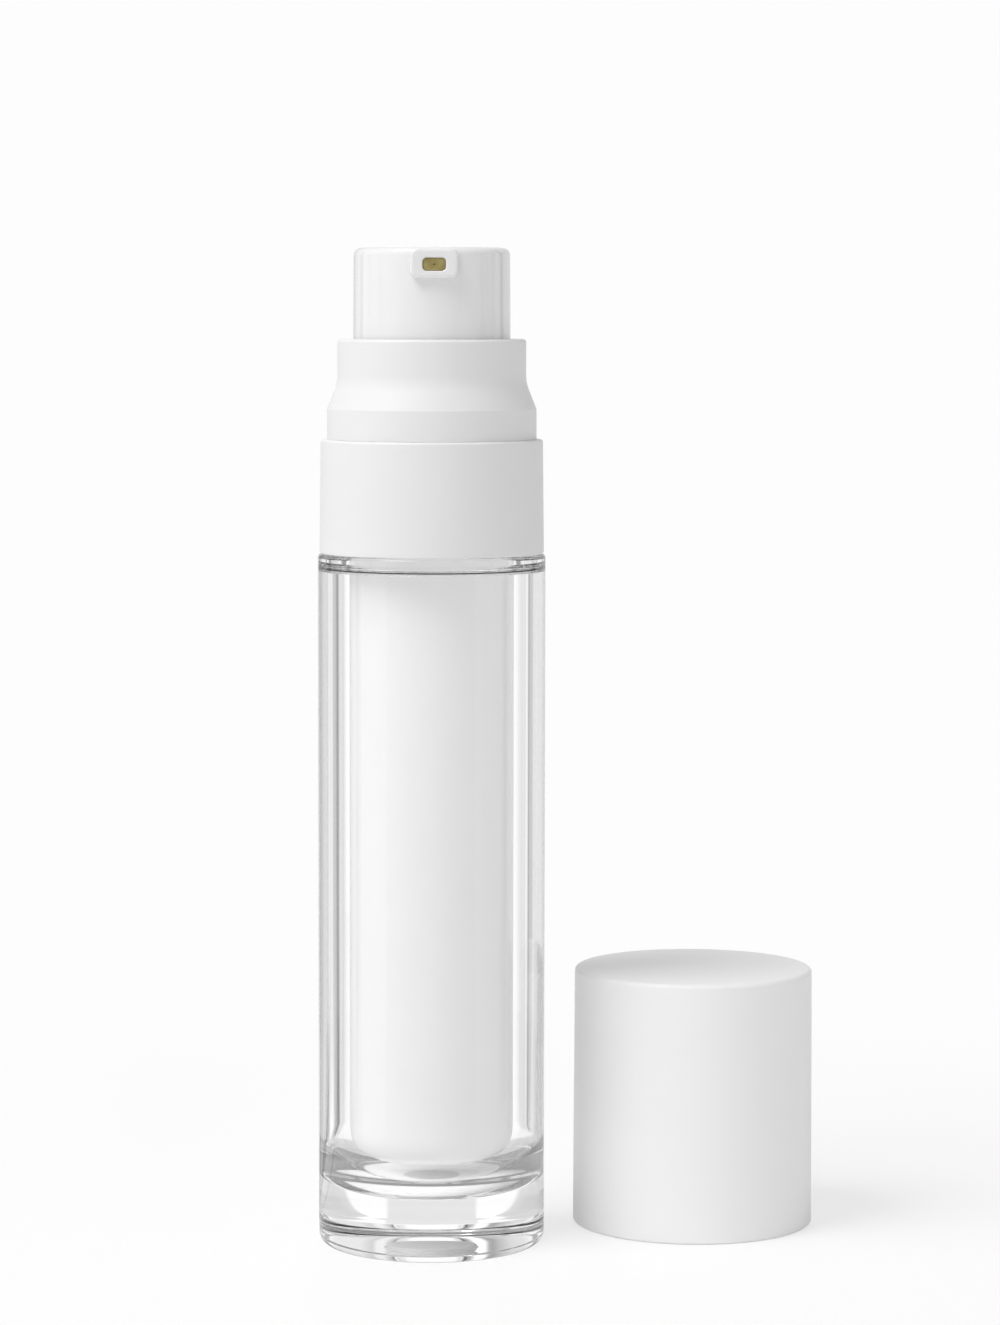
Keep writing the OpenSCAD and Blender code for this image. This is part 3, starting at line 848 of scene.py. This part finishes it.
# greys of the studio's strips against the angle from the middle of a quarter turn, in degrees: behind the
# bottle as the photograph's view sees it, and to both sides
backTones = [
    (-45, 0.8), (-30, 0.7), (-23, 0.5), (-19.6, 0.34), (-18, 0.45), (-16.6, 0.96), (-15.5, 1.12),
    (-13.5, 1.12), (-12.4, 1.04), (-11.5, 0.66), (-10.6, 0.44), (-9.8, 0.38), (-9.2, 0.12), (-8.7, 0.1),
    (-8.3, 0.6), (-7.9, 0.86), (-7.0, 0.74), (-6.0, 1.0), (-5.0, 1.04), (3.0, 1.05), (3.9, 1.0),
    (5.0, 0.82), (6.2, 0.82), (6.8, 0.68), (7.5, 0.97), (8.1, 0.7), (8.5, 0.16), (9.1, 0.5),
    (12.4, 0.9), (15, 0.88), (16.8, 0.64), (22.6, 0.82),
]
sideTones = [
    (-45, 0.8), (-38, 0.95), (-34, 0.3), (-27, 0.3), (-25, 1.05), (-12, 1.05), (-9.2, 0.45), (-8.6, 0.2),
    (-8, 0.8), (-6, 1.0), (6, 1.0), (8, 0.8), (8.6, 0.2), (9.2, 0.45), (12, 1.0), (16, 1.06), (45, 1.06),
]


# the strips by the angle of a place round the bottle's axis, as a ray meets them that left the clear wall a
# little to one side: turned = atan((|side| - wall) / ahead) in the quarter that the place lies in; the front
# quarter is plain, so that the gloss of the inner bottle shows no seams
def stripTones(graph, turn=2.5, wall=0.014, frontTone=0.8):
    quarter = math.pi / 2
    edge = math.degrees(quarter / 2)
    across, along = graph.split(graph.place())[:2]
    angle = across.maths("ARCTAN2", across, along) - math.radians(turn)
    quarters = (angle / quarter).maths("ROUND", angle / quarter)
    folded = angle - quarter * quarters
    reach = (across * across + along * along) ** 0.5
    side = reach * folded.maths("SINE", folded)
    ahead = reach * folded.maths("COSINE", folded)
    beyond = (side.maths("ABSOLUTE", side) - wall).larger(0.0) * side.maths("SIGN", side)
    turned = beyond.maths("ARCTAN2", beyond, ahead) * (180 / math.pi)
    outward = turned * quarters.maths("SIGN", quarters)
    back = graph.tones(turned, -edge, edge, backTones)
    sides = graph.tones(outward, -edge, edge, sideTones)
    size = quarters.maths("ABSOLUTE", quarters)
    shown = graph.blendColours(size.maths("GREATER_THAN", size, 0.5), back, sides)
    return graph.blendColours(size.maths("GREATER_THAN", size, 1.5), shown, (frontTone,) * 3)


# painted shade and light on the floor close behind the bottle, which only the clear walls and the gloss see:
# greys against the slope of the rays that the thick base throws there,
# slope = distance from the view's plane / distance from the place where they cross
underShadeTones = [(0, 0.8), (0.26, 0.8), (0.3, 1.02), (0.9, 1.02), (1.1, 0.72), (2, 0.65)]


# floor: pale and softly lit, so that it keeps the shadows, and plain white far out; behind the bottle and far
# round it, where only the clear walls and the gloss see it, it carries the studio's strips, with painted
# shade close behind the bottle and a painted contact shadow ring round its foot
def buildFloor(v):
    half = v["floorHalf"]
    mesh = bpy.data.meshes.new("floor")
    z = -v["floorDrop"]
    corners = [(-half, -half, z), (half, -half, z), (half, half, z), (-half, half, z)]
    mesh.from_pydata(corners, [], [(0, 1, 2, 3)])
    floor = bpy.data.objects.new("floor", mesh)
    scene.collection.objects.link(floor)
    material, graph = newMaterial("paleFloor")
    where = graph.place()
    distance = graph.length(graph.shifted(where, tuple(-c for c in v["middle"])))
    lit = graph.principled({
        "Base Color": (v["floorColour"],) * 3,
        "Roughness": v["floorRough"],
        "Specular IOR Level": v["floorGloss"],
    })
    plain = graph.node("ShaderNodeEmission", {}, {"Color": (v["plainWhite"],) * 3, "Strength": 1.0})
    across, behind = graph.split(where)[:2]
    aside = across - v["viewSlope"] * behind
    past = behind - v["crossing"]
    slope = aside.maths("ABSOLUTE", aside) / past.maths("ABSOLUTE", past).larger(mm)
    nearShade = graph.tones(slope, underShadeTones[0][0], underShadeTones[-1][0], underShadeTones)
    apart = distance.rise(v["stripsFrom"], v["stripsTo"])
    share = v["plainNear"] + (1 - v["plainNear"]) * distance.rise(v["plainFrom"], v["plainTo"])
    faded = share * graph.light("Is Camera Ray")
    radius = graph.length(where)
    # painted contact shadow: a dark ring round the bottle's foot, seen only by the clear walls and the gloss
    contactShadow = radius.rise(*v["contactFrom"]) * (1 - radius.rise(*v["contactTo"]))
    back = behind.rise(v["underFrom"], v["underTo"])
    striped = back.larger(distance.rise(v["aroundFrom"], v["aroundTo"])).larger(contactShadow)
    tones = graph.blendColours(apart, nearShade, stripTones(graph))
    tones = graph.blendColours(contactShadow, tones, (v["contactShadowGrey"],) * 3)
    strips = graph.node("ShaderNodeEmission", {}, {"Color": tones, "Strength": 1.0})
    through = striped * graph.light("Is Glossy Ray", "Is Transmission Ray")
    graph.finish(graph.mixShaders(through, graph.mixShaders(faded, lit, plain), strips))
    mesh.materials.append(material)


# open cylinder that only the clear bottle and the gloss surfaces see: the strips of a studio
def buildSurround(v):
    segments = 180
    t = np.arange(segments) * 2 * math.pi / segments
    ring = np.stack([np.sin(t), np.cos(t)], 1) * v["surroundRadius"]
    points = np.concatenate([
        np.column_stack([ring, np.full(segments, -v["floorDrop"])]),
        np.column_stack([ring, np.full(segments, v["surroundHeight"])])
    ])
    mesh = bpy.data.meshes.new("surround")
    mesh.from_pydata(points.tolist(), [], gridFaces(2, segments, False).tolist())
    surround = bpy.data.objects.new("surround", mesh)
    scene.collection.objects.link(surround)
    surround.visible_camera = False
    surround.visible_diffuse = False
    surround.visible_shadow = False
    material, graph = newMaterial("studioStrips")
    graph.finish(graph.node("ShaderNodeEmission", {}, {"Color": stripTones(graph), "Strength": 1.0}))
    mesh.materials.append(material)


def buildWorld(v):
    world = bpy.data.worlds.new("studio")
    scene.world = world
    graph = Graph(world)
    soft = graph.node("ShaderNodeBackground", {}, {"Color": (v["worldLight"],) * 3, "Strength": 1.0})
    white = graph.node("ShaderNodeBackground", {}, {"Color": (v["plainWhite"],) * 3, "Strength": 1.0})
    seen = graph.light("Is Camera Ray", "Is Glossy Ray", "Is Transmission Ray")
    graph.finish(graph.mixShaders(seen, soft, white), "ShaderNodeOutputWorld")


def pointedAt(place, target):
    return (Vector(target) - Vector(place)).to_track_quat("-Z", "Y").to_euler()


def buildKey(v):
    lamp = bpy.data.lights.new("keyLight", "AREA")
    lamp.shape = "SQUARE"
    lamp.size = v["keySize"]
    lamp.energy = v["keyPower"]
    key = bpy.data.objects.new("keyLight", lamp)
    key.location = v["keyPlace"]
    key.rotation_euler = pointedAt(v["keyPlace"], v["keyTarget"])
    scene.collection.objects.link(key)


photoView = {
    "place": (-0.01721, -0.62645, 0.1412),
    "turn": -2.5,
    "tiltDown": 4.87,
    "roll": -0.1,
    "lens": 114.11,
}


def buildCamera(v):
    data = bpy.data.cameras.new("photoCamera")
    data.sensor_fit = "VERTICAL"
    data.sensor_height = 36.0
    data.sensor_width = 36.0
    data.lens = v["lens"]
    camera = bpy.data.objects.new("photoCamera", data)
    camera.location = v["place"]
    camera.rotation_euler = [math.radians(a) for a in (90 - v["tiltDown"], v["roll"], v["turn"])]
    scene.collection.objects.link(camera)
    scene.camera = camera


buildFloor(studio)
buildSurround(studio)
buildWorld(studio)
buildKey(studio)
buildCamera(photoView)
scene.view_settings.view_transform = "Standard"
print("studio made")
